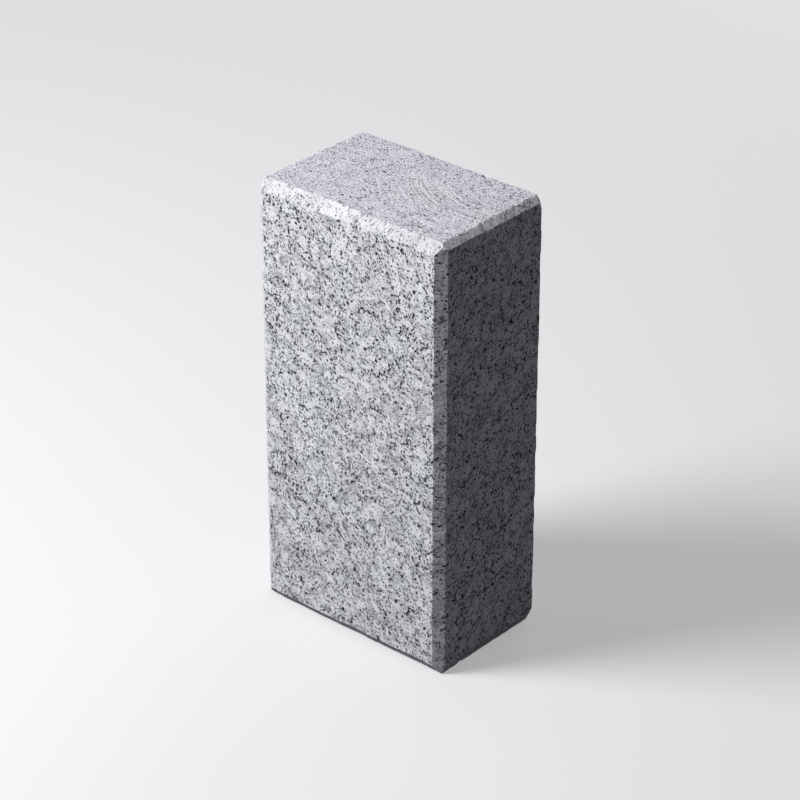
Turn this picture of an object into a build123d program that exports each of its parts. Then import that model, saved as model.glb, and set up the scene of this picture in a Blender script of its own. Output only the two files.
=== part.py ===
"""Granite paving stone, sawn from slab and standing on its small end.

Millimetres. The origin is the middle of the lower end, +Z runs up the length,
the broad faces look along Y and the narrow sides along X. The front is at -Y.
Every arris is ground off to a flat strip of its own width, and the strips meet
in plain mitres at the corners, with no facet of their own there.
"""

import os

from build123d import *

# Overall size over the flat faces
LENGTH = 200.0
WIDTH = 100.0
THICKNESS = 65.0

# Upright arrises: what the strip takes from the broad face and from the side
FRONT_LEFT_OFF_FACE = 4.0
FRONT_LEFT_OFF_SIDE = 3.3
FRONT_RIGHT_OFF_FACE = 4.4
FRONT_RIGHT_OFF_SIDE = 3.5
BACK_LEFT_OFF_FACE = 3.8
BACK_LEFT_OFF_SIDE = 3.4
BACK_RIGHT_OFF_FACE = 3.6
BACK_RIGHT_OFF_SIDE = 4.0

# Long arrises of the upper end: what is taken from the broad face and the end
TOP_FRONT_OFF_FACE = 4.9
TOP_FRONT_OFF_END = 3.5
TOP_BACK_OFF_FACE = 3.7
TOP_BACK_OFF_END = 3.2

# Short arrises of the upper end: what is taken from the side and the end
TOP_LEFT_OFF_SIDE = 2.8
TOP_LEFT_OFF_END = 3.6
TOP_RIGHT_OFF_SIDE = 2.4
TOP_RIGHT_OFF_END = 3.4

# Long arrises of the lower end, the one it stands on
BOTTOM_FRONT_OFF_FACE = 4.3
BOTTOM_FRONT_OFF_END = 3.0
BOTTOM_BACK_OFF_FACE = 3.9
BOTTOM_BACK_OFF_END = 2.9

# Short arrises of the lower end, of which the right one is hardly dressed
BOTTOM_LEFT_OFF_SIDE = 3.1
BOTTOM_LEFT_OFF_END = 2.6
BOTTOM_RIGHT_OFF_SIDE = 3.2
BOTTOM_RIGHT_OFF_END = 1.2

# Bruised corners: how far from the corner of the uncut block the break meets its
# edges across the width, through the thickness and along the length
TOP_BACK_LEFT_BREAK_ACROSS = 9.5
TOP_BACK_LEFT_BREAK_THROUGH = 8.7
TOP_BACK_LEFT_BREAK_ALONG = 7.5
TOP_BACK_RIGHT_BREAK_ACROSS = 6.0
TOP_BACK_RIGHT_BREAK_THROUGH = 6.6
TOP_BACK_RIGHT_BREAK_ALONG = 12.8
BOTTOM_BACK_RIGHT_BREAK_ACROSS = 7.0
BOTTOM_BACK_RIGHT_BREAK_THROUGH = 7.7
BOTTOM_BACK_RIGHT_BREAK_ALONG = 9.8

# Flake out of the upper back arris, deep at its left end and running out right
FLAKE_FROM_MIDDLE = 19.1
FLAKE_LENGTH = 5.0
FLAKE_DEPTH = 0.95
FLAKE_DOWN = 2.6
FLAKE_DEEPEST_SHARE = 0.12

# How far a cutting tool stands out past the stone
OVERRUN = 5.0


def dressed_outline(half_across, low, high, corners):
    """Rectangle about the middle line with a strip cut off each corner.

    corners holds (taken across, taken along) for the lower left, lower right,
    upper right and upper left corner, in that order.
    """
    lower_left, lower_right, upper_right, upper_left = corners
    points = [
        (-half_across + lower_left[0], low),
        (half_across - lower_right[0], low),
        (half_across, low + lower_right[1]),
        (half_across, high - upper_right[1]),
        (half_across - upper_right[0], high),
        (-half_across + upper_left[0], high),
        (-half_across, high - upper_left[1]),
        (-half_across, low + lower_left[1]),
    ]
    return make_face(Polyline(*points, close=True))


def plan_prism():
    """The stone seen from above, drawn up its length: the upright arrises."""
    outline = dressed_outline(
        WIDTH / 2,
        -THICKNESS / 2,
        THICKNESS / 2,
        [
            (FRONT_LEFT_OFF_FACE, FRONT_LEFT_OFF_SIDE),
            (FRONT_RIGHT_OFF_FACE, FRONT_RIGHT_OFF_SIDE),
            (BACK_RIGHT_OFF_FACE, BACK_RIGHT_OFF_SIDE),
            (BACK_LEFT_OFF_FACE, BACK_LEFT_OFF_SIDE),
        ],
    )
    return extrude(Plane.XY * outline, amount=LENGTH)


def front_prism():
    """The stone seen from the front, drawn through its thickness: the short end arrises."""
    outline = dressed_outline(
        WIDTH / 2,
        0,
        LENGTH,
        [
            (BOTTOM_LEFT_OFF_END, BOTTOM_LEFT_OFF_SIDE),
            (BOTTOM_RIGHT_OFF_END, BOTTOM_RIGHT_OFF_SIDE),
            (TOP_RIGHT_OFF_END, TOP_RIGHT_OFF_SIDE),
            (TOP_LEFT_OFF_END, TOP_LEFT_OFF_SIDE),
        ],
    )
    return extrude(Plane.XZ * outline, amount=THICKNESS / 2, both=True)


def side_prism():
    """The stone seen from the right, drawn across its width: the long end arrises."""
    outline = dressed_outline(
        THICKNESS / 2,
        0,
        LENGTH,
        [
            (BOTTOM_FRONT_OFF_END, BOTTOM_FRONT_OFF_FACE),
            (BOTTOM_BACK_OFF_END, BOTTOM_BACK_OFF_FACE),
            (TOP_BACK_OFF_END, TOP_BACK_OFF_FACE),
            (TOP_FRONT_OFF_END, TOP_FRONT_OFF_FACE),
        ],
    )
    return extrude(Plane.YZ * outline, amount=WIDTH / 2, both=True)


def break_plane(corner, across, through, along):
    """Plane of a bruise at a corner of the uncut block, facing out of the stone.

    corner is that corner's place; across, through and along are signed runs
    from it, back along the block's three edges, to where the break meets them.
    """
    on_width = corner + Vector(across, 0, 0)
    on_thickness = corner + Vector(0, through, 0)
    on_length = corner + Vector(0, 0, along)
    outward = (on_thickness - on_width).cross(on_length - on_width)
    if outward.dot(corner - on_width) < 0:
        outward = -outward
    return Plane(origin=on_width, x_dir=on_thickness - on_width, z_dir=outward)


def bruises():
    """The three corners that show a break: top back left and right, bottom back right."""
    back = THICKNESS / 2
    return [
        break_plane(
            Vector(-WIDTH / 2, back, LENGTH),
            TOP_BACK_LEFT_BREAK_ACROSS,
            -TOP_BACK_LEFT_BREAK_THROUGH,
            -TOP_BACK_LEFT_BREAK_ALONG,
        ),
        break_plane(
            Vector(WIDTH / 2, back, LENGTH),
            -TOP_BACK_RIGHT_BREAK_ACROSS,
            -TOP_BACK_RIGHT_BREAK_THROUGH,
            -TOP_BACK_RIGHT_BREAK_ALONG,
        ),
        break_plane(
            Vector(WIDTH / 2, back, 0),
            -BOTTOM_BACK_RIGHT_BREAK_ACROSS,
            -BOTTOM_BACK_RIGHT_BREAK_THROUGH,
            BOTTOM_BACK_RIGHT_BREAK_ALONG,
        ),
    ]


def flake():
    """The chip missing from the upper back arris, as the piece that came off."""
    arris_y = THICKNESS / 2 - TOP_BACK_OFF_END
    deepest_x = FLAKE_FROM_MIDDLE + FLAKE_LENGTH * FLAKE_DEEPEST_SHARE
    outer_y = THICKNESS / 2 + OVERRUN
    bed = Polyline(
        (FLAKE_FROM_MIDDLE, arris_y),
        (deepest_x, arris_y - FLAKE_DEPTH),
        (FLAKE_FROM_MIDDLE + FLAKE_LENGTH, arris_y),
        (FLAKE_FROM_MIDDLE + FLAKE_LENGTH, outer_y),
        (FLAKE_FROM_MIDDLE, outer_y),
        close=True,
    )
    return extrude(Plane.XY.offset(LENGTH - FLAKE_DOWN) * make_face(bed), amount=FLAKE_DOWN + OVERRUN)


def paving_stone():
    """The whole stone: what three dressed prisms have in common, less its old breaks."""
    stone = plan_prism() & front_prism() & side_prism()
    for plane in bruises():
        stone = split(stone, bisect_by=plane, keep=Keep.BOTTOM)
    return stone - flake()


os.makedirs("parts", exist_ok=True)
export_step(paving_stone(), "parts/paving_stone.step")
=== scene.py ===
"""Granite paving stone, standing on its small end.

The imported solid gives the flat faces, the ground strips and the breaks. They are meshed again with
points close together along the arrises, where grinding and handling have worn the stone, and a
Geometry Nodes tree then scoops the chips out of the arrises and the pits out of the faces. One solid
grain runs through the whole block, and each way in which its surface was made is a finish over it.

The scene is in metres. Grain and wear are given in millimetres.
"""

import logging
import math
from collections.abc import Callable
from dataclasses import dataclass, field, fields
from enum import Enum
from functools import partial
from typing import Any, ClassVar

import bmesh
import bpy
import numpy as np
from bpy.types import ID, Material, Mesh, Node, NodeSocket, NodeTree, Object
from mathutils import Matrix, Vector, geometry, kdtree, noise


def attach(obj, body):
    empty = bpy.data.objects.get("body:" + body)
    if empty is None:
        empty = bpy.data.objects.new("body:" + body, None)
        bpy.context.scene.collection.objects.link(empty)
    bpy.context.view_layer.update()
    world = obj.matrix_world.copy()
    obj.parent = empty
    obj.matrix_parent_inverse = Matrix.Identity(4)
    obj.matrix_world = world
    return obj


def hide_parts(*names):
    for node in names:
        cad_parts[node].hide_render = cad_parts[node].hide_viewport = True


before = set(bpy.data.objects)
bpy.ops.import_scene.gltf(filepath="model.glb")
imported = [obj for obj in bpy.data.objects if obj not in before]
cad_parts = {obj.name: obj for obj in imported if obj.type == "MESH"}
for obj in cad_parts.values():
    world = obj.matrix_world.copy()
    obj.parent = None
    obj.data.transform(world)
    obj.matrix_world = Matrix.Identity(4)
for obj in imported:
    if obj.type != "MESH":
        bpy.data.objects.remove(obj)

MM = 0.001  # metres
MATH, VECTOR, RANGE, MIX = "ShaderNodeMath", "ShaderNodeVectorMath", "ShaderNodeMapRange", "ShaderNodeMix"
NOISE, CELLS, SPLIT = "ShaderNodeTexNoise", "ShaderNodeTexVoronoi", "ShaderNodeSeparateColor"
FROM, TO = ("From Min", "From Max"), ("To Min", "To Max")  # sockets of a Map Range node
PATTERN = ("Vector", "Scale", "Detail")  # of a Noise node
COLOURS = (6, 7)  # of a Mix node
WHOLE = (2, 3)  # the whole numbers of a Compare node
SOFT = (0.3, 0.7)  # nearly all values of a soft noise lie between these
INSIDE = 1  # tells the triangulation to keep what lies inside the outline
LOG = logging.getLogger("paving_stone")
Feed = Node | NodeSocket  # what can feed a socket
Adder = Callable[..., Node]  # adds a node to one tree
Pair = tuple[float, float]
Triple = tuple[float, float, float]


def linear(hex_colour: str) -> tuple[float, float, float, float]:
    """Turns an sRGB hex colour into the linear one that a socket takes.

    Args:
        hex_colour: the colour as "#rrggbb".

    Returns:
        Red, green and blue in linear light, and an alpha of 1.
    """
    parts = [int(hex_colour[i : i + 2], 16) / 255 for i in (1, 3, 5)]
    return tuple(c / 12.92 if c <= 0.04045 else ((c + 0.055) / 1.055) ** 2.4 for c in parts) + (1.0,)


def add_node(
    tree: NodeTree, kind: str, inputs: dict | tuple = (), operation: str | None = None, **settings: Any
) -> Node:
    """Adds a node with its settings, its values and its links.

    Args:
        tree: the tree that gets the node.
        kind: the node's class.
        inputs: socket name or number, and the value that it holds or what feeds it, where a tuple of names
            has a tuple of values. Or else a tuple for the first sockets. A node feeds a socket from the
            first of its outputs that is in use.
        operation: what a node that has operations does.
        settings: the node's own properties.

    Returns:
        The new node.
    """
    node = tree.nodes.new(kind)
    if operation:
        node.operation = operation
    for name, value in settings.items():
        setattr(node, name, value)
    for names, values in inputs.items() if isinstance(inputs, dict) else enumerate(inputs):
        for name, value in zip(names, values) if isinstance(names, tuple) else ((names, values),):
            if isinstance(value, Node):
                value = next(output for output in value.outputs if output.enabled)
            if isinstance(value, NodeSocket):
                tree.links.new(value, node.inputs[name])
            else:
                node.inputs[name].default_value = value
    return node


def add_object(name: str, data: ID) -> Object:
    """A new object in the scene that holds that data."""
    bpy.context.scene.collection.objects.link(made := bpy.data.objects.new(name, data))
    return made


def smooth(share: float) -> float:
    """A share eased in and out, and kept between 0 and 1."""
    kept = min(1.0, max(0.0, share))
    return kept * kept * (3 - 2 * kept)


def loop_edges(loop: list[int]) -> list[tuple[int, int]]:
    """The edges round a loop of points, in order."""
    return list(zip(loop, loop[1:] + loop[:1]))


def edge_key(a: int, b: int) -> tuple[int, int]:
    """One name for an edge, whichever way it runs."""
    return min(a, b), max(a, b)


class Surface(Enum):
    """How a part of the surface was made. The value is its material slot."""

    HONED = 0
    SAWN = 1
    GROUND = 2
    BROKEN = 3
    EASED = 4


@dataclass
class Region:
    """One flat area of the solid, with axes of its own in its plane (millimetres)."""

    number: int
    surface: Surface
    origin: np.ndarray
    normal: np.ndarray
    along: np.ndarray
    across: np.ndarray
    corners: list[int]

    def flat(self, points: np.ndarray) -> np.ndarray:
        """Places of points along and across this area."""
        away = points - self.origin
        return np.stack([away @ self.along, away @ self.across], -1)

    def solid(self, places: np.ndarray, depths: np.ndarray) -> np.ndarray:
        """Points in space at places along and across this area, sunk by depths."""
        flat = self.origin + places[:, :1] * self.along + places[:, 1:] * self.across
        return flat - depths[:, None] * self.normal


@dataclass(frozen=True)
class Wear:
    """What grinding, handling and breaking left, in millimetres."""

    pass_length: float = 7.0  # one stroke of the grinder along an arris
    pass_step: float = 0.09  # how far one stroke cuts deeper or shallower than the next
    pass_turn: float = 0.14  # share of a stroke in which it runs into the next
    sway: float = 0.6  # how unevenly strokes follow each other, as a share of one
    sway_length: float = 19.0
    drift_length: float = 42.0
    drift: float = 0.07
    chatter_length: float = 1.5
    chatter: float = 0.02
    strip_seed: Triple = (17.3, 5.1, -3.7)  # gives each strip a noise of its own
    strip_row: float = 7.0  # and its strokes levels of their own
    crumble_lengths: Pair = (1.0, 0.47)  # grains lost along an arris
    crumble: float = 0.15
    end_crumble: float = 0.38
    weak_length: float = 11.0  # of the stretches that crumble more
    weak_seed: Triple = (3.1, 0.4, 9.2)
    weak_least: float = 0.3
    fracture_length: float = 3.0
    fracture: float = 0.50
    fracture_grain_length: float = 1.1
    fracture_grain: float = 0.22

    def depth(self, region: Region, point: np.ndarray) -> float:
        """How deep the worn surface lies under the flat one.

        Args:
            region: the area that the point is on.
            point: its place in millimetres.

        Returns:
            Millimetres into the stone. A strip may also stand a little shallow.
        """
        place = Vector(point)
        if region.surface is Surface.BROKEN:
            rough = self.fracture * abs(noise.noise(place / self.fracture_length))
            return rough + self.fracture_grain * abs(noise.noise(place / self.fracture_grain_length))
        if region.surface not in (Surface.GROUND, Surface.EASED):
            return 0.0
        seed = Vector((region.number * self.strip_seed[0], *self.strip_seed[1:]))
        sway = self.sway * noise.noise(place / self.sway_length + seed)
        run = point @ region.along / self.pass_length + sway
        stroke = math.floor(run)
        turn = smooth((run - stroke - (1 - self.pass_turn)) / self.pass_turn)
        row = region.number * self.strip_row + 0.5
        this, following = (noise.cell(Vector((stroke + k + 0.5, row, 0.5))) - 0.5 for k in (0, 1))
        cut = 2 * self.pass_step * (this * (1 - turn) + following * turn)
        cut += 2 * self.drift * noise.noise(place / self.drift_length + seed)
        return cut + self.chatter * noise.noise(place / self.chatter_length + seed)

    def lost_grains(self, areas: list[Region], point: np.ndarray) -> float:
        """Works out what has crumbled off an arris.

        Args:
            areas: the two areas that meet there. A sawn end crumbles more.
            point: a place on the arris in millimetres.

        Returns:
            Millimetres into the stone.
        """
        place = Vector(point)
        weak = 0.5 + noise.noise(place / self.weak_length + Vector(self.weak_seed))
        bite = sum(max(0.0, noise.noise(place / length)) for length in self.crumble_lengths)
        brittle = self.end_crumble if any(a.surface is Surface.SAWN for a in areas) else self.crumble
        return brittle * bite * max(self.weak_least, weak)


@dataclass(frozen=True)
class Grading:
    """Spacing of the mesh's points in millimetres: close along the arrises and wider inside the faces."""

    on_arris: float = 0.34
    uneven: float = 0.2  # how unevenly they lie along it, as a share of that
    clear: float = 0.27  # nearest that an inner point comes to an arris point
    clear_within: float = 1.0  # rings that begin this close to the arris are kept clear of it
    corner_blend: float = 1.4  # over which an arris runs into its corner
    corner_share: float = 0.25  # how much of the wear a corner takes
    # Rings inside that: spacing, and from and to which distance off the arris
    rings: tuple[Triple, ...] = ((0.46, 0.25, 1.2), (0.72, 1.5, 3.6), (1.32, 3.9, 1e9))
    row: float = 0.866  # spacing of the rows, as a share
    jitter: float = 0.22


@dataclass(frozen=True)
class Relief:
    """Chips along the arrises and pits in the faces. Each size is an input of the tree, in metres."""

    chip_spacing: float = 3.6 * MM
    chips_kept: float = 0.18  # share of those places that lost a chip
    least_chip: float = 0.40 * MM
    largest_chip: float = 1.25 * MM
    chip_sink: float = 0.32  # depth as a share of the chip's radius
    pit_spacing: float = 2.7 * MM
    pit_depth: float = 0.12 * MM
    wave_length: float = 14.0 * MM
    wave_depth: float = 0.035 * MM
    seed: int = 7

    rare: ClassVar[float] = 4.0  # power that makes large chips rare
    ragged_scale: ClassVar[float] = 900.0  # of a chip's outline, to the metre
    ragged: ClassVar[Pair] = (0.55, 1.45)
    bowl: ClassVar[float] = 0.55  # share of a chip's radius that is its floor
    no_pit: ClassVar[float] = 0.62  # share of the places without a pit
    widest_pit: ClassVar[float] = 0.48  # as a share of their spacing
    pit_wall: ClassVar[float] = 0.2

    def tree(self, materials: list[Material]) -> tuple[NodeTree, dict[str, Any]]:
        """Builds the tree that takes chips and pits out of the meshed block.

        Args:
            materials: one for each Surface, in the order of their slots.

        Returns:
            The tree, and the value of each of its inputs by socket identifier.
        """
        tree = bpy.data.node_groups.new("chips_and_pits", "GeometryNodeTree")
        tree.interface.new_socket("Block", in_out="INPUT", socket_type="NodeSocketGeometry")
        tree.interface.new_socket("Stone", in_out="OUTPUT", socket_type="NodeSocketGeometry")
        values = {}
        for size in fields(self):
            value = getattr(self, size.name)
            kind = "NodeSocketInt" if isinstance(value, int) else "NodeSocketFloat"
            label = size.name.replace("_", " ").capitalize()
            values[tree.interface.new_socket(label, in_out="INPUT", socket_type=kind).identifier] = value
        add = partial(add_node, tree)
        given = add("NodeGroupInput").outputs
        place = add("GeometryNodeInputPosition")
        normal = add("GeometryNodeInputNormal")

        # Chips: points along the arrises, some of them kept, each with its own radius and direction
        block = add("GeometryNodeCaptureAttribute", {"Geometry": given["Block"]})
        block.capture_items.new("VECTOR", "Outward")
        tree.links.new(normal.outputs[0], block.inputs["Outward"])
        on_arris = add("GeometryNodeInputNamedAttribute", {"Name": "arris"}, data_type="BOOLEAN")
        lines = add("GeometryNodeMeshToCurve", {"Mesh": block, "Selection": on_arris})
        apart = {"Curve": lines, "Length": given["Chip spacing"]}
        dots = add("GeometryNodeCurveToPoints", apart, mode="LENGTH")
        lost = add(MATH, (1.0, given["Chips kept"]), "SUBTRACT")
        pick = add("FunctionNodeRandomValue", {"Probability": lost, "Seed": given["Seed"]}, data_type="BOOLEAN")
        chosen = add("GeometryNodeDeleteGeometry", {"Geometry": dots, "Selection": pick}, domain="POINT")
        any_way = {0: (-1.0, -1.0, -1.0), 1: (1.0, 1.0, 1.0), "Seed": given["Seed"]}
        shift = add("FunctionNodeRandomValue", any_way, data_type="FLOAT_VECTOR")
        aside = add(VECTOR, {0: shift, "Scale": given["Least chip"]}, "SCALE")
        chips = add("GeometryNodeSetPosition", {"Geometry": chosen, "Offset": aside})
        luck = add("FunctionNodeRandomValue", {"Seed": given["Seed"], "ID": add("GeometryNodeInputIndex")})
        rare = add(MATH, (luck, self.rare), "POWER")
        radius = add(RANGE, {"Value": rare, TO: (given["Least chip"], given["Largest chip"])})
        near = add("GeometryNodeSampleNearest", {"Geometry": chips, "Sample Position": place}, domain="POINT")

        def of_chip(value: Feed, data_type: str) -> Node:
            """What the nearest chip's point holds."""
            held = {"Geometry": chips, "Value": value, "Index": near}
            return add("GeometryNodeSampleIndex", held, data_type=data_type)

        reach = of_chip(radius, "FLOAT")
        gap = add(VECTOR, (place, of_chip(place, "FLOAT_VECTOR")), "DISTANCE")
        outline = add(NOISE, {PATTERN: (place, self.ragged_scale, 1.0)})
        swing = add(RANGE, {"Value": outline, TO: self.ragged})
        ragged_gap = add(MATH, (gap, swing), "MULTIPLY")
        share = add(MATH, (ragged_gap, reach), "DIVIDE")
        bowl = add(RANGE, {"Value": share, "From Min": self.bowl, TO: (1.0, 0.0)})
        scoop = add(MATH, (bowl, reach), "MULTIPLY")
        sunk = add(MATH, (scoop, given["Chip sink"]), "MULTIPLY")
        outward = of_chip(block.outputs["Outward"], "FLOAT_VECTOR")
        chip = add(VECTOR, {0: outward, "Scale": sunk}, "SCALE")

        # Pits where soft grains were plucked out, and the faint wave that the saw leaves
        step = add(MATH, (1.0, given["Pit spacing"]), "DIVIDE")
        cells = add(CELLS, {"Vector": place, "Scale": step}, voronoi_dimensions="3D")
        odds = add("ShaderNodeSeparateXYZ", {0: cells.outputs["Color"]})
        size = add(RANGE, {"Value": odds, "From Min": self.no_pit, "To Max": self.widest_pit})
        inside = add(MATH, (size, cells.outputs["Distance"]), "SUBTRACT")
        pit = add(RANGE, {"Value": inside, "From Max": self.pit_wall, "To Max": given["Pit depth"]})
        long_step = add(MATH, (1.0, given["Wave length"]), "DIVIDE")
        wave = add(NOISE, {PATTERN: (place, long_step, 2.0)})
        swell = add(MATH, (wave, given["Wave depth"]), "MULTIPLY")
        low = add(MATH, (pit, swell), "ADD")
        pits = add(VECTOR, {0: normal, "Scale": low}, "SCALE")

        both = add(VECTOR, (chip, pits))
        inward = add(VECTOR, {0: both, "Scale": -1.0}, "SCALE")
        carved = add("GeometryNodeSetPosition", {"Geometry": given["Block"], "Offset": inward})
        shape = add("GeometryNodeRealizeInstances", {"Geometry": carved})
        made = add("GeometryNodeInputNamedAttribute", {"Name": "surface"}, data_type="INT")
        for surface, material in zip(Surface, materials):
            here = add("FunctionNodeCompare", {WHOLE: (made, surface.value)}, "EQUAL", data_type="INT")
            shape = add("GeometryNodeSetMaterial", {"Geometry": shape, "Selection": here, "Material": material})
        add("NodeGroupOutput", {"Stone": shape})
        return tree, values


@dataclass(frozen=True)
class Flakes:
    """One set of loose mica flakes, all laid much the same way."""

    turn: Triple  # how the set lies, in radians
    slim: Triple  # how much narrower the flakes are along each of the turned axes
    spacing: float  # millimetres
    bare: float  # share of the places that hold no flake
    faintest: float  # strength of the palest one


@dataclass(frozen=True)
class GraniteGrain:
    """Light grey biotite granite: white and pale grey feldspar, grey quartz and black mica flecks.

    The eye sees a salt-and-pepper mix: white patches of a few millimetres, grey between them, and thin
    dark flecks of half a millimetre to one and a half, many of them strung round the white ones. All
    grains are a little flattened one way, as in rock that was squeezed. Sizes are in millimetres.
    """

    feldspar: str = "#f9fafe"
    plagioclase: str = "#dbdde3"
    quartz: str = "#aeb1b9"
    mica: str = "#101114"
    tones: Triple = (0.12, 0.30, 0.56)  # at which quartz, plagioclase and feldspar are pure
    spread: float = 1.24  # how much longer than the sizes below a grain is along its flat side
    squeezed: float = 0.88  # and how thick it is
    flat_side: Triple = (-0.6, 0.65, -0.47)  # which way its flat side faces
    patch_size: float = 6.5  # one large feldspar, with mica strung round it
    mineral_size: float = 2.3
    crystal_size: float = 0.8
    weights: Triple = (0.35, 0.30, 0.34)  # of those three sizes in the tone
    patch_rim: float = 0.32  # share of a patch over which it pales inwards
    crooked_length: float = 1.3
    crooked: float = 1.4
    flakes_crooked: float = 0.55
    ragged_length: float = 0.5
    ragged: float = 0.85
    seams: tuple[Pair, ...] = ((6.5, 0.06), (3.0, 0.10))  # grain round which, and widest dash
    dash_length: float = 0.8
    dash_noise: Pair = (0.58, 0.70)  # between which a dash widens
    dash_edge: float = 0.012  # softness, as a share of the grain
    swarm_length: float = 9.0  # of the clouds in which mica is thicker
    swarm: Pair = (0.84, 1.16)  # its share outside and inside them
    strung: Pair = (1.1, 0.8)  # its share on a patch's seam and inside it
    strung_rim: float = 0.2
    largest_flake: float = 0.58  # as a share of the spacing
    flake_edge: float = 0.03
    flakes: tuple[Flakes, ...] = (
        Flakes((0.4, 0.7, 0.2), (1.0, 1.0, 1.25), 1.1, 0.59, 1.0),
        Flakes((1.3, -0.5, 0.9), (1.25, 1.0, 1.0), 1.2, 0.65, 1.0),
        # The finest pepper is smaller still in the stone, but would be under a pixel
        Flakes((-0.8, 0.3, 2.1), (1.0, 1.2, 1.0), 0.64, 0.67, 0.95),
    )
    grit_size: float = 0.5
    crystal_height: float = 0.35  # beside the grit's height of 1
    mica_height: float = -0.9  # mica is soft, so it lies lower

    def group(self) -> NodeTree:
        """Builds the shader group that holds the grain.

        Returns:
            A group that takes a place in millimetres, the size and strength of the flecks and the
            film of flour over the light minerals, and gives the stone's colour, where mica lies, and a
            height for bump.
        """
        tree = bpy.data.node_groups.new("granite_grain", "ShaderNodeTree")
        for label, way, kind in (
            ("Place", "INPUT", "Vector"),
            ("Fleck size", "INPUT", "Float"),
            ("Fleck strength", "INPUT", "Float"),
            ("Film", "INPUT", "Float"),
            ("Film colour", "INPUT", "Color"),
            ("Colour", "OUTPUT", "Color"),
            ("Mica", "OUTPUT", "Float"),
            ("Height", "OUTPUT", "Float"),
        ):
            tree.interface.new_socket(label, in_out=way, socket_type=f"NodeSocket{kind}")
        add = partial(add_node, tree)
        given = add("NodeGroupInput").outputs

        # Squeezed grains: places are drawn together in the plane of the grains and spread out across it
        across = add(VECTOR, (given["Place"], self.flat_side), "DOT_PRODUCT")
        thinner = 1 / self.squeezed - 1 / self.spread
        further = add(MATH, (across, thinner), "MULTIPLY")
        pressed = add(VECTOR, {0: self.flat_side, "Scale": further}, "SCALE")
        drawn = add(VECTOR, {0: given["Place"], "Scale": 1 / self.spread}, "SCALE")
        place = add(VECTOR, (drawn, pressed))

        def bent(start: Feed, bend: Node, amount: float) -> Node:
            """A place that a noise pushes about by some amount, because grains have crooked outlines."""
            way = add(VECTOR, (bend.outputs["Color"], (0.5, 0.5, 0.5)), "SUBTRACT")
            return add(VECTOR, (start, add(VECTOR, {0: way, "Scale": amount}, "SCALE")))

        def edges(size: float) -> Node:
            """Distance from the nearest seam between grains of that size, as a share of it."""
            return add(CELLS, {"Vector": crooked, "Scale": 1 / size}, feature="DISTANCE_TO_EDGE")

        bend = add(NOISE, {PATTERN: (place, 1 / self.crooked_length, 2.0)})
        fray = add(NOISE, {PATTERN: (place, 1 / self.ragged_length, 1.0)})
        crooked = bent(place, bend, self.crooked)
        frayed = bent(bent(place, bend, self.flakes_crooked), fray, self.ragged)

        # Light minerals: three sizes of grain added up, from grey quartz to white feldspar
        patch_edge = edges(self.patch_size)
        tone = add(RANGE, {"Value": patch_edge, "From Max": self.patch_rim})
        join = "MULTIPLY"
        for size, weight in zip((self.patch_size, self.mineral_size, self.crystal_size), self.weights):
            cells = add(CELLS, {"Vector": crooked, "Scale": 1 / size})
            crystal = add(SPLIT, {0: cells.outputs["Color"]})
            share = add(MATH, (crystal, weight), "MULTIPLY")
            tone = add(MATH, (share, tone), join)
            join = "ADD"
        ramp = add("ShaderNodeValToRGB", {0: tone})
        stops = ramp.color_ramp.elements
        stops[0].position, stops[0].color = self.tones[0], linear(self.quartz)
        stops[1].position, stops[1].color = self.tones[2], linear(self.feldspar)
        stops.new(self.tones[1]).color = linear(self.plagioclase)

        # Mica: dashes strung along the seams of the larger grains, then the sets of loose flakes
        cloud = add(NOISE, {PATTERN: (place, 1 / self.swarm_length, 2.0)})
        swarm = add(RANGE, {"Value": cloud, FROM: SOFT, TO: self.swarm})
        cover = add(MATH, (swarm, given["Fleck size"]), "MULTIPLY")
        strung = add(RANGE, {"Value": patch_edge, "From Max": self.strung_rim, TO: self.strung})
        gathered = add(MATH, (strung, cover), "MULTIPLY")
        dashes = add(NOISE, {PATTERN: (place, 1 / self.dash_length, 1.0)})
        marks = []
        for size, widest in self.seams:
            width = add(RANGE, {"Value": dashes, FROM: self.dash_noise, "To Max": widest})
            width = add(MATH, (width, cover), "MULTIPLY")
            inside = add(MATH, (width, edges(size)), "SUBTRACT")
            marks.append(add(RANGE, {"Value": inside, "From Max": self.dash_edge}))
        for flakes in self.flakes:
            laid = add("ShaderNodeMapping", {"Vector": frayed, "Rotation": flakes.turn, "Scale": flakes.slim})
            cells = add(CELLS, {"Vector": laid, "Scale": 1 / flakes.spacing})
            luck = add(SPLIT, {0: cells.outputs["Color"]})
            size = add(RANGE, {"Value": luck, "From Min": flakes.bare, "To Max": self.largest_flake})
            size = add(MATH, (size, gathered), "MULTIPLY")
            inside = add(MATH, (size, cells.outputs["Distance"]), "SUBTRACT")
            dark = add(RANGE, {"Value": luck.outputs["Green"], "To Min": flakes.faintest})
            marks.append(add(RANGE, {"Value": inside, "From Max": self.flake_edge, "To Max": dark}))
        mask = marks[0]
        for mark in marks[1:]:
            mask = add(MATH, (mask, mark), "MAXIMUM")
        mask = add(MATH, (mask, given["Fleck strength"]), "MULTIPLY")

        filmed = add(MIX, {0: given["Film"], COLOURS: (ramp, given["Film colour"])}, data_type="RGBA")
        stone = add(MIX, {0: mask, COLOURS: (filmed, linear(self.mica))}, data_type="RGBA")
        grit = add(NOISE, {PATTERN: (place, 1 / self.grit_size, 2.0)})
        height = add(MATH, (crystal.outputs["Green"], self.crystal_height, grit), "MULTIPLY_ADD")
        height = add(MATH, (mask, self.mica_height, height), "MULTIPLY_ADD")
        add("NodeGroupOutput", {"Colour": stone, "Mica": mask, "Height": height})
        return tree


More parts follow.
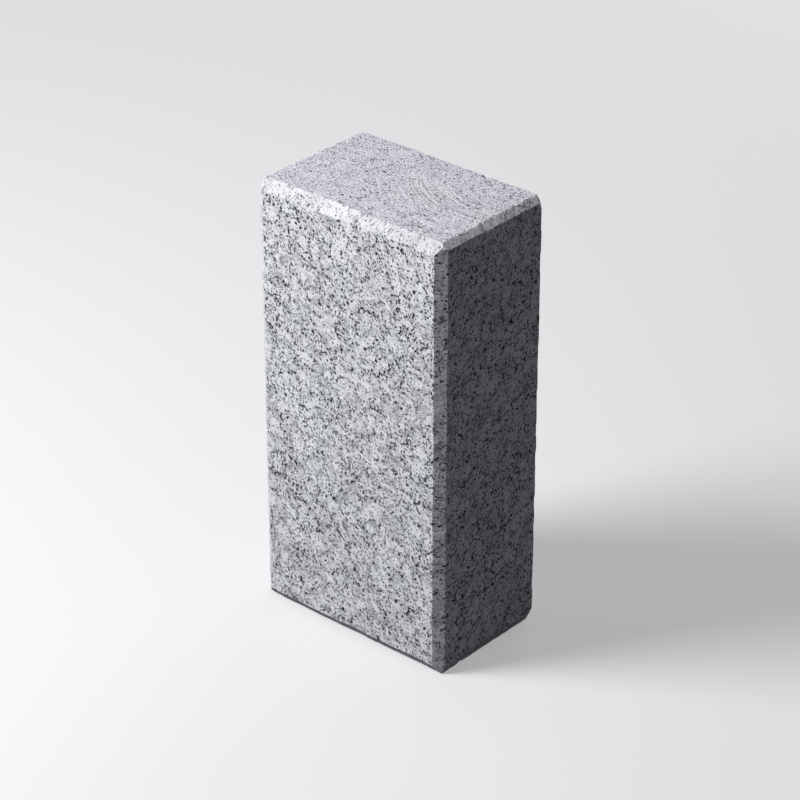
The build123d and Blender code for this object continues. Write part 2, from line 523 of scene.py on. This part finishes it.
@dataclass(frozen=True)
class Strokes:
    """Marks of the grinder across a strip: each stroke has its own bruises and its own scratches."""

    scratched: float  # strength of the scratches
    bruised: float  # share of the grain that the whitest strokes hide
    bruise_colour: str
    lean: float = 0.47  # radians
    width: float = 4.6
    sway: float = 2.2
    sway_length: float = 3.5
    bruising: Pair = (0.45, 0.75)  # how hard a stroke is, from its first bruise to its last
    scratching: Pair = (0.35, 0.6)  # and the same for its scratches
    scratch_width: float = 0.38
    scratch_length: float = 4.0
    scratch_noise: Pair = (0.54, 0.66)
    scratch_colour: str = "#5d5f66"
    scratch_height: float = -0.8

    def lay(self, add: Adder, place: Feed, under: tuple[Feed, Feed]) -> tuple[Feed, Feed]:
        """Lays the strokes over the grain.

        Args:
            add: adds a node to the material's tree.
            place: the place in millimetres.
            under: the grain's colour and height.

        Returns:
            The new colour and height.
        """
        colour, height = under
        strip = add("ShaderNodeAttribute", attribute_name="strip")
        leant = add("ShaderNodeMapping", {"Vector": strip.outputs["Vector"], "Rotation": (0.0, 0.0, self.lean)})
        sway = add(NOISE, {PATTERN: (place, 1 / self.sway_length, 2.0)})
        swayed = add(MATH, (sway, self.sway), "MULTIPLY")
        run = add(MATH, (add("ShaderNodeSeparateXYZ", {0: leant}), swayed), "ADD")
        strokes = add(CELLS, {"W": run, "Scale": 1 / self.width}, voronoi_dimensions="1D")
        stroke = add(SPLIT, {0: strokes.outputs["Color"]})
        white = add(RANGE, {"Value": stroke, FROM: self.bruising, "To Max": self.bruised})
        colour = add(MIX, {0: white, COLOURS: (colour, linear(self.bruise_colour))}, data_type="RGBA")
        slim = (1 / self.scratch_width, 1 / self.scratch_length, 1.0)
        drawn = add("ShaderNodeMapping", {"Vector": leant, "Scale": slim})
        scratches = add(NOISE, {PATTERN: (drawn, 1.0, 1.0)})
        groove = add(RANGE, {"Value": scratches, FROM: self.scratch_noise, "To Max": self.scratched})
        worked = add(RANGE, {"Value": stroke.outputs["Green"], FROM: self.scratching})
        cut = add(MATH, (groove, worked), "MULTIPLY")
        colour = add(MIX, {0: cut, COLOURS: (colour, linear(self.scratch_colour))}, data_type="RGBA")
        height = add(MATH, (cut, self.scratch_height, height), "MULTIPLY_ADD")
        return colour, height


@dataclass(frozen=True)
class SawMarks:
    """Arcs of the saw, broken up and clearest where it was leant on, and frost of crushed grain all over, each
    painted lighter where raised and darker where sunk: painted highlight and painted shade of the sawn
    roughness.
    """

    arcs: float  # strength of the arcs, with their painted highlight and painted shade
    frost: float  # strength of the frost, with its painted highlight and painted shade
    axle: Triple = (39.0, 43.0, 200.0)  # the wheel's
    ring_width: float = 0.7
    ring_drift: float = 0.05
    clearest: Triple = (27.0, -6.0, 200.0)  # where it bit most
    clear_reach: Pair = (14.0, 50.0)  # from there, over which the arcs fade out
    break_length: float = 4.5
    break_noise: Pair = (0.42, 0.58)
    frost_size: float = 0.8
    tones: tuple[tuple[Pair, str, float], ...] = (  # reach in the noise, colour and height; the raised white is partly a painted highlight, the sunk grey a painted shade
        ((0.56, 0.66), "#ffffff", 0.5),
        ((0.44, 0.34), "#8d8e98", -0.5),
    )

    def lay(self, add: Adder, place: Feed, under: tuple[Feed, Feed]) -> tuple[Feed, Feed]:
        """Lays the arcs and the frost over the grain, with their painted highlight and painted shade.

        Args:
            add: adds a node to the material's tree.
            place: the place in millimetres.
            under: the grain's colour and height.

        Returns:
            The new colour and height.
        """
        colour, height = under
        arm = add(VECTOR, (place, self.axle), "SUBTRACT")
        ring = add("ShaderNodeCombineXYZ", {0: add(VECTOR, {0: arm}, "LENGTH")})
        slow = add(VECTOR, {0: place, "Scale": self.ring_drift}, "SCALE")
        ring = add(VECTOR, (ring, slow))
        rings = add(NOISE, {PATTERN: (ring, 1 / self.ring_width, 1.0)})
        off = add(VECTOR, (place, self.clearest), "DISTANCE")
        clear = add(RANGE, {"Value": off, FROM: self.clear_reach, TO: (self.arcs, 0.0)})
        breaks = add(NOISE, {PATTERN: (place, 1 / self.break_length, 1.0)})
        seen = add(RANGE, {"Value": breaks, FROM: self.break_noise})
        seen = add(MATH, (seen, clear), "MULTIPLY")
        crushed = add(NOISE, {PATTERN: (place, 1 / self.frost_size, 1.0)})
        # Each mark is painted lighter where raised and darker where sunk: painted highlight and painted shade
        # that follow the bump
        for marks, strength in ((rings, seen), (crushed, self.frost)):
            for reach, tone, rise in self.tones:
                line = add(RANGE, {"Value": marks, FROM: reach})
                mark = add(MATH, (line, strength), "MULTIPLY")
                colour = add(MIX, {0: mark, COLOURS: (colour, linear(tone))}, data_type="RGBA")
                height = add(MATH, (mark, rise, height), "MULTIPLY_ADD")
        return colour, height


@dataclass(frozen=True)
class StoneFinish:
    """One way of working the granite, and what it does to the look of the grain."""

    name: str
    fleck_size: float  # how large the mica shows, as a share
    fleck_strength: float  # how dark it shows
    flour: float  # share of the light minerals' colour that stone flour and crushed crystals hide
    flour_colour: str
    drift_colour: str  # what the flour's colour drifts to over two or three centimetres
    roughness: float
    bump: float  # millimetres
    marks: Strokes | SawMarks | None = None
    gloss: float = 0.03  # low, because the dry, rough face scatters nearly all that it mirrors
    mica_shine: float = 0.2  # how much less rough the mica is
    ior: float = 1.54  # of feldspar and quartz
    cloud_length: float = 9.0  # of the clouds in the flour
    cloud: float = 0.25  # share by which they make it thinner or thicker
    drift_length: float = 24.0
    drift_noise: Pair = (0.42, 0.60)

    def material(self, grain: NodeTree) -> Material:
        """Builds the material.

        Args:
            grain: the group of the granite's grain.

        Returns:
            The material, with the grain on Object coordinates.
        """
        material = bpy.data.materials.new(self.name)
        material.use_nodes = True
        material.node_tree.nodes.clear()
        add = partial(add_node, material.node_tree)
        own = add("ShaderNodeTexCoord")
        place = add("ShaderNodeMapping", {"Vector": own.outputs["Object"], "Scale": (1 / MM, 1 / MM, 1 / MM)})
        cloud = add(NOISE, {PATTERN: (place, 1 / self.cloud_length, 4.0)})
        thin, thick = self.flour * (1 - self.cloud), min(1.0, self.flour * (1 + self.cloud))
        film = add(RANGE, {"Value": cloud, FROM: SOFT, TO: (thin, thick)})
        slow = add(NOISE, {PATTERN: (place, 1 / self.drift_length, 1.0)})
        drift = add(RANGE, {"Value": slow, FROM: self.drift_noise})
        tints = (linear(self.flour_colour), linear(self.drift_colour))
        tint = add(MIX, {0: drift, COLOURS: tints}, data_type="RGBA")
        looks = (place, self.fleck_size, self.fleck_strength, film, tint)
        stone = add("ShaderNodeGroup", looks, node_tree=grain)
        colour, height = stone.outputs["Colour"], stone.outputs["Height"]
        if self.marks:
            colour, height = self.marks.lay(add, place, (colour, height))
        rough = (self.roughness, self.roughness - self.mica_shine)
        shine = add(RANGE, {"Value": stone.outputs["Mica"], TO: rough})
        dents = add("ShaderNodeBump", {"Strength": 1.0, "Distance": self.bump * MM, "Height": height})
        face = {"Base Color": colour, "Roughness": shine, "Normal": dents}
        gloss = {"IOR": self.ior, "Specular IOR Level": self.gloss}
        add("ShaderNodeOutputMaterial", {"Surface": add("ShaderNodeBsdfPrincipled", face | gloss)})
        return material


CUPPED = Strokes(0.75, 0.35, "#d9d9de")  # of a cup wheel, dry
RUBBED = Strokes(0.5, 0.2, "#ececf0")  # and of one that was rubbed over

# Honed: the broad faces and sides are sawn, then rubbed smooth, so the grain shows in full contrast, matt.
HONED = StoneFinish("honed_granite", 1.02, 1.0, 0.09, "#dce0e1", "#c9adb3", 0.62, 0.05)
# Sawn: the ends keep the saw's flour, so the mica looks smaller under a faint lilac-white film. Its saw arcs
# and frost carry painted highlight and painted shade.
SAWN = StoneFinish("sawn_granite", 0.76, 1.0, 0.74, "#c8c8d7", "#cacad5", 0.72, 0.14, SawMarks(0.75, 0.75))
# Ground: the end arrises are taken off dry with a cup wheel, which bruises the crystals white in strokes.
GROUND = StoneFinish("ground_granite", 0.78, 0.85, 0.63, "#d9d9de", "#d3d3d7", 0.74, 0.05, CUPPED)
# Broken: bruises and the flake show fresh, sugary crystal faces.
BROKEN = StoneFinish("broken_granite", 0.9, 0.9, 0.3, "#ebebee", "#e4e3e2", 0.6, 0.12)
# Eased: the upright arrises are ground too, then rubbed with the faces, so the grain is nearly as clear.
EASED = StoneFinish("eased_granite", 1.0, 0.97, 0.2, "#ececf0", "#dedee3", 0.68, 0.05, RUBBED)


@dataclass
class PavingStone:
    """The block itself, meshed again from its solid, worn, carved and dressed."""

    solid: Object
    name: str = "granite_block"
    wear: Wear = field(default_factory=Wear)
    grading: Grading = field(default_factory=Grading)
    relief: Relief = field(default_factory=Relief)
    grain: GraniteGrain = field(default_factory=GraniteGrain)
    finishes: tuple[StoneFinish, ...] = (HONED, SAWN, GROUND, BROKEN, EASED)
    seed: int = 11
    same_point: float = 0.001  # millimetres within which two corners are one
    same_place: float = 1e-6  # millimetres within which two points of the new mesh are one
    same_plane: float = 0.2  # degrees within which two triangles are one area
    leaning: float = 0.05  # part of a normal over which an area leans that way
    sunk: float = 0.01  # millimetres by which a break lies under the solid's hull
    alike: float = 0.05  # normals that differ by less than this share count as one
    area_step: float = 50.0  # millimetres between the areas in the strip attribute
    crisp: float = 23.0  # degrees over which an edge stays sharp

    def regions(self) -> tuple[np.ndarray, list[Region]]:
        """Reads the flat areas of the solid.

        Returns:
            The corners of the solid in millimetres, and its areas.
        """
        shape = bmesh.new()
        shape.from_mesh(self.solid.data)
        bmesh.ops.remove_doubles(shape, verts=shape.verts, dist=self.same_point * MM)
        flat = math.radians(self.same_plane)
        bmesh.ops.dissolve_limit(shape, angle_limit=flat, verts=shape.verts, edges=shape.edges)
        shape.verts.index_update()
        shape.normal_update()
        corners = np.array([v.co for v in shape.verts]) / MM
        areas = []
        for number, polygon in enumerate(shape.faces):
            normal = np.array(polygon.normal)
            origin = np.array(polygon.calc_center_median()) / MM
            leans = np.abs(normal) > self.leaning
            if leans.sum() == 3 or ((corners - origin) @ normal).max() > self.sunk:
                surface = Surface.BROKEN
            elif leans.sum() == 2:
                surface = Surface.GROUND if leans[2] else Surface.EASED
            else:
                surface = Surface.SAWN if leans[2] else Surface.HONED
            along = np.zeros(3)
            along[0 if surface is Surface.SAWN else int(np.argmin(np.abs(normal)))] = 1.0
            along -= (along @ normal) * normal
            along /= np.linalg.norm(along)
            loop = [v.index for v in polygon.verts]
            areas.append(Region(number, surface, origin, normal, along, np.cross(normal, along), loop))
        shape.free()
        return corners, areas

    def worn_move(self, point: np.ndarray, areas: list[Region]) -> np.ndarray:
        """Works out how far a point moves when each area round it is worn to its own depth.

        Args:
            point: a place in millimetres, on all of the areas.
            areas: the areas that meet there.

        Returns:
            The move in millimetres.
        """
        normals = np.array([a.normal for a in areas])
        depths = np.array([self.wear.depth(a, point) for a in areas])
        return -np.linalg.lstsq(normals, depths, rcond=self.alike)[0]

    def worn_arris(
        self,
        straight: tuple[np.ndarray, np.ndarray],
        worn: tuple[np.ndarray, np.ndarray],
        areas: list[Region],
        rng: np.random.Generator,
    ) -> np.ndarray:
        """Points along an arris, without its ends, worn and crumbled.

        Args:
            straight: the two ends of the straight arris.
            worn: where those ends lie once they are worn.
            areas: the two areas that meet there.
            rng: where the uneven spacing comes from.

        Returns:
            The points in order, in millimetres.
        """
        start, end = straight
        run = (end - start) / np.linalg.norm(end - start)
        first, last = (worn[0] - start) @ run, (worn[1] - start) @ run
        aside = [worn[0] - start - first * run, worn[1] - start - last * run]
        parts = max(1, round(float(last - first) / self.grading.on_arris))
        uneven = self.grading.uneven
        steps = (np.arange(1, parts) + rng.uniform(-uneven, uneven, parts - 1)) / parts
        bisector = areas[0].normal + areas[1].normal
        bisector /= np.linalg.norm(bisector)
        points = []
        for at in first + (last - first) * steps:
            flat = start + run * at
            moved = self.worn_move(flat, areas) - bisector * self.wear.lost_grains(areas, flat)
            for corner, away in ((0, at - first), (1, last - at)):
                share = smooth(away / self.grading.corner_blend)
                moved = aside[corner] * (1 - share) + moved * share
            points.append(flat + moved)
        return np.array(points).reshape(-1, 3)

    def inner_places(self, outline: np.ndarray, worn: np.ndarray, rng: np.random.Generator) -> np.ndarray:
        """Places inside an area, close together near its edge and wider further in.

        Args:
            outline: corners of the area, along and across, in order.
            worn: every point of its worn edge, along and across.
            rng: where the uneven spacing comes from.

        Returns:
            The places, along and across, in millimetres.
        """
        low, high = outline.min(0), outline.max(0)
        tree = kdtree.KDTree(len(worn))
        for i, (u, v) in enumerate(worn):
            tree.insert((u, v, 0.0), i)
        tree.balance()
        kept = []
        for spacing, nearest, farthest in self.grading.rings:
            columns = np.arange(low[0], high[0] + spacing, spacing)
            rows = np.arange(low[1], high[1] + spacing, spacing * self.grading.row)
            u, v = np.meshgrid(columns, rows)
            u[1::2] += spacing / 2
            grid = np.stack([u.ravel(), v.ravel()], 1)
            grid += rng.uniform(-1, 1, grid.shape) * spacing * self.grading.jitter
            inside = np.zeros(len(grid), bool)
            distance = np.full(len(grid), np.inf)
            for a, b in zip(outline, np.roll(outline, -1, axis=0)):
                run = b - a
                share = np.clip(((grid - a) @ run) / (run @ run), 0, 1)
                distance = np.minimum(distance, np.linalg.norm(grid - a - share[:, None] * run, axis=1))
                if a[1] != b[1]:
                    spans = (a[1] > grid[:, 1]) != (b[1] > grid[:, 1])
                    inside ^= spans & (grid[:, 0] < a[0] + (grid[:, 1] - a[1]) * run[0] / run[1])
            grid = grid[inside & (distance > nearest) & (distance < farthest)]
            if nearest < self.grading.clear_within:
                clear = [tree.find((p[0], p[1], 0.0))[2] > self.grading.clear for p in grid]
                grid = grid[np.array(clear, bool)] if len(grid) else grid
            kept.append(grid)
        return np.concatenate(kept)

    def mesh(self) -> Mesh:
        """Meshes the worn block.

        Returns:
            A closed mesh in metres, with the attributes "surface" on faces, "arris" on edges and "strip"
            on face corners, which holds places along and across each area in millimetres.
        """
        rng = np.random.default_rng(self.seed)
        corners, areas = self.regions()
        at_corner: dict[int, list[Region]] = {}
        at_edge: dict[tuple[int, int], list[Region]] = {}
        for area in areas:
            for a, b in loop_edges(area.corners):
                at_corner.setdefault(a, []).append(area)
                at_edge.setdefault(edge_key(a, b), []).append(area)
        share = self.grading.corner_share
        points = [corner + share * self.worn_move(corner, at_corner[i]) for i, corner in enumerate(corners)]
        between: dict[tuple[int, int], list[int]] = {}
        for (a, b), sides in sorted(at_edge.items()):
            worn = self.worn_arris((corners[a], corners[b]), (points[a], points[b]), sides, rng)
            between[a, b] = list(range(len(points), len(points) + len(worn)))
            points.extend(worn)
        triangles, surfaces, places, arrises = [], [], [], set()
        for area in areas:
            ring = []
            for a, b in loop_edges(area.corners):
                run = between[edge_key(a, b)]
                ring += [a] + (run if a < b else run[::-1])
            arrises.update(edge_key(a, b) for a, b in loop_edges(ring))
            edge = area.flat(np.array([points[i] for i in ring]))
            inner = self.inner_places(area.flat(corners[area.corners]), edge, rng)
            depths = np.array([self.wear.depth(area, p) for p in area.solid(inner, np.zeros(len(inner)))])
            numbers = ring + list(range(len(points), len(points) + len(inner)))
            points.extend(area.solid(inner, depths))
            flat = [Vector(p) for p in np.concatenate([edge, inner])]
            found = geometry.delaunay_2d_cdt(flat, [], [list(range(len(ring)))], INSIDE, self.same_place)
            names = [numbers[ids[0]] for ids in found[3]]
            for triangle in found[2]:
                triangles.append([names[i] for i in triangle])
                surfaces.append(area.surface.value)
                places.extend((*found[0][i], area.number * self.area_step) for i in triangle)
        mesh = bpy.data.meshes.new(self.name)
        used, numbers = np.unique(triangles, return_inverse=True)
        mesh.from_pydata([tuple(p) for p in np.array(points)[used] * MM], [], numbers.reshape(-1, 3).tolist())
        mesh.attributes.new("surface", "INT", "FACE").data.foreach_set("value", surfaces)
        strip = mesh.attributes.new("strip", "FLOAT_VECTOR", "CORNER")
        strip.data.foreach_set("vector", np.array(places).ravel())
        ends = np.zeros(len(mesh.edges) * 2, np.int32)
        mesh.edges.foreach_get("vertices", ends)
        marks = [edge_key(a, b) in arrises for a, b in used[ends].reshape(-1, 2)]
        mesh.attributes.new("arris", "BOOLEAN", "EDGE").data.foreach_set("value", marks)
        return mesh

    def build(self) -> Object:
        """Makes the stone and puts it in the place of its solid.

        Returns:
            The finished object, at the origin, with a plain mesh.
        """
        grain = self.grain.group()
        materials = [finish.material(grain) for finish in self.finishes]
        stone = add_object(self.name, self.mesh())
        for material in materials:
            stone.data.materials.append(material)
        tree, values = self.relief.tree(materials)
        modifier = stone.modifiers.new("chips_and_pits", "NODES")
        modifier.node_group = tree
        for identifier, value in values.items():
            modifier[identifier] = value
        graph = bpy.context.evaluated_depsgraph_get()
        worn = stone.evaluated_get(graph)
        carved = bpy.data.meshes.new_from_object(worn, preserve_all_data_layers=True, depsgraph=graph)
        stone.modifiers.remove(modifier)
        stone.data = carved
        carved.name = self.name
        carved.shade_smooth()
        carved.set_sharp_from_angle(angle=math.radians(self.crisp))
        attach(stone, "root")
        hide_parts("paving_stone")
        names = ", ".join(m.name for m in carved.materials)
        LOG.info("%s: %d triangles, materials %s", stone.name, len(carved.polygons), names)
        return stone


def ray(azimuth: float, elevation: float) -> Vector:
    """Direction from the stone towards a place at that azimuth and elevation, in degrees."""
    a, e = math.radians(azimuth), math.radians(elevation)
    return Vector((math.sin(a) * math.cos(e), -math.cos(a) * math.cos(e), math.sin(e)))


def seen_rays(add: Adder) -> Node:
    """Tells what is seen, straight or in a gloss, from what only lights the stone.

    Args:
        add: adds a node to the tree of the floor's or the room's shader.

    Returns:
        A node that gives 1 for camera, glossy and transmission rays.
    """
    path = add("ShaderNodeLightPath").outputs
    either = add(MATH, (path["Is Camera Ray"], path["Is Glossy Ray"]), "MAXIMUM")
    return add(MATH, (either, path["Is Transmission Ray"]), "MAXIMUM")


@dataclass(frozen=True)
class Lamp:
    """A soft round lamp that looks at the stone."""

    name: str
    azimuth: float  # where it stands round the stone, in degrees
    elevation: float  # how high it stands, in degrees
    size: float  # width in metres
    power: float  # watts
    distance: float = 1.1  # metres

    def build(self, middle: Vector) -> Object:
        """Adds the lamp.

        Args:
            middle: the place that it looks at.

        Returns:
            The lamp.
        """
        data = bpy.data.lights.new(self.name, "AREA")
        data.shape = "DISK"
        data.size = self.size
        data.energy = self.power
        lamp = add_object(self.name, data)
        towards = ray(self.azimuth, self.elevation)
        lamp.location = middle + towards * self.distance
        lamp.rotation_euler = towards.to_track_quat("Z", "Y").to_euler()
        return lamp


@dataclass(frozen=True)
class Studio:
    """A pale floor, a large soft lamp at the left, a weak one behind, and a soft even room round them."""

    middle: Triple = (0.0, 0.0, 0.1)  # what the camera and the lamps look at
    camera_distance: float = 1.26135
    camera_azimuth: float = 41.205
    camera_elevation: float = 29.178
    camera_right: float = -0.00024
    camera_up: float = 0.00082
    camera_nearest: float = 0.01
    lens: float = 135.64  # millimetres
    film: float = 36.0
    lamps: tuple[Lamp, ...] = (
        Lamp("soft_lamp", -40.6, 42.0, 0.5, 15.0),
        Lamp("back_lamp", 190.0, 20.0, 0.9, 2.6),
    )
    room: str = "#f8faff"
    room_strength: float = 0.105
    floor: str = "#f2f2f4"
    floor_seen_by_stone: str = "#4e4f53"
    floor_reach: float = 6.0  # metres from the middle to a side
    floor_roughness: float = 0.9
    floor_gloss: float = 0.1
    floor_glow: float = 0.42  # share of the seen floor's colour that doesn't depend on the lamp, near the stone
    floor_fade: Pair = (0.25, 1.5)  # metres from the stone over which that share goes up to 1
    backdrop_strength: float = 0.92

    def camera(self) -> Object:
        """Adds the camera at the photograph's viewing angle.

        Returns:
            The camera.
        """
        data = bpy.data.cameras.new("camera")
        data.lens = self.lens
        data.sensor_width = self.film
        data.clip_start = self.camera_nearest
        camera = add_object("camera", data)
        back = ray(self.camera_azimuth, self.camera_elevation)
        azimuth = math.radians(self.camera_azimuth)
        right = Vector((math.cos(azimuth), math.sin(azimuth), 0.0))
        up = back.cross(right)
        turn = Matrix((right, up, back)).transposed().to_4x4()
        place = Vector(self.middle) + back * self.camera_distance
        place += right * self.camera_right + up * self.camera_up
        camera.matrix_world = Matrix.Translation(place) @ turn
        bpy.context.scene.camera = camera
        return camera

    def light_room(self) -> None:
        """Lights the room evenly and shows it pale behind the floor."""
        world = bpy.data.worlds.new("soft_room")
        world.use_nodes = True
        world.node_tree.nodes.clear()
        add = partial(add_node, world.node_tree)
        even = add("ShaderNodeBackground", {"Color": linear(self.room), "Strength": self.room_strength})
        pale = add("ShaderNodeBackground", {"Color": linear(self.floor), "Strength": self.backdrop_strength})
        both = add("ShaderNodeMixShader", (seen_rays(add), even, pale))
        add("ShaderNodeOutputWorld", {"Surface": both})
        bpy.context.scene.world = world

    def floor_paint(self) -> Material:
        """Makes the floor's material. The camera sees it pale, and it throws less light back at the stone.

        Returns:
            The material, a plain matt one whose seen colour fades into the backdrop far out.
        """
        material = bpy.data.materials.new("pale_floor")
        material.use_nodes = True
        material.node_tree.nodes.clear()
        add = partial(add_node, material.node_tree)
        seen = seen_rays(add)
        colours = (linear(self.floor_seen_by_stone), linear(self.floor))
        colour = add(MIX, {0: seen, COLOURS: colours}, data_type="RGBA")
        dull = {"Roughness": self.floor_roughness, "Specular IOR Level": self.floor_gloss}
        skin = add("ShaderNodeBsdfPrincipled", {"Base Color": colour} | dull)
        glow = add("ShaderNodeEmission", {"Color": linear(self.floor), "Strength": self.backdrop_strength})
        own = add("ShaderNodeTexCoord").outputs["Object"]
        away = add(VECTOR, {0: own}, "LENGTH")
        fading = {FROM: self.floor_fade, "To Min": self.floor_glow}
        fade = add(RANGE, {"Value": away} | fading, interpolation_type="SMOOTHSTEP")
        share = add(MATH, (seen, fade), "MULTIPLY")
        add("ShaderNodeOutputMaterial", {"Surface": add("ShaderNodeMixShader", (share, skin, glow))})
        return material

    def lay_floor(self) -> Object:
        """Lays the plain floor.

        Returns:
            The floor, which is stage.
        """
        sheet = bmesh.new()
        bmesh.ops.create_grid(sheet, x_segments=1, y_segments=1, size=self.floor_reach)
        mesh = bpy.data.meshes.new("floor")
        sheet.to_mesh(mesh)
        sheet.free()
        mesh.materials.append(self.floor_paint())
        floor = add_object("floor", mesh)
        return floor

    def build(self) -> None:
        """Sets the whole stage, camera first."""
        self.camera()
        for lamp in self.lamps:
            lamp.build(Vector(self.middle))
        self.light_room()
        self.lay_floor()
        bpy.context.scene.view_settings.view_transform = "Standard"
        LOG.info("stage set: camera, two soft lamps, room and floor")


def main() -> None:
    """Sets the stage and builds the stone."""
    logging.basicConfig(level=logging.INFO, format="%(name)s: %(message)s")
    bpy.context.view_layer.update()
    Studio().build()
    PavingStone(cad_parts["paving_stone"]).build()


if __name__ == "__main__":
    main()
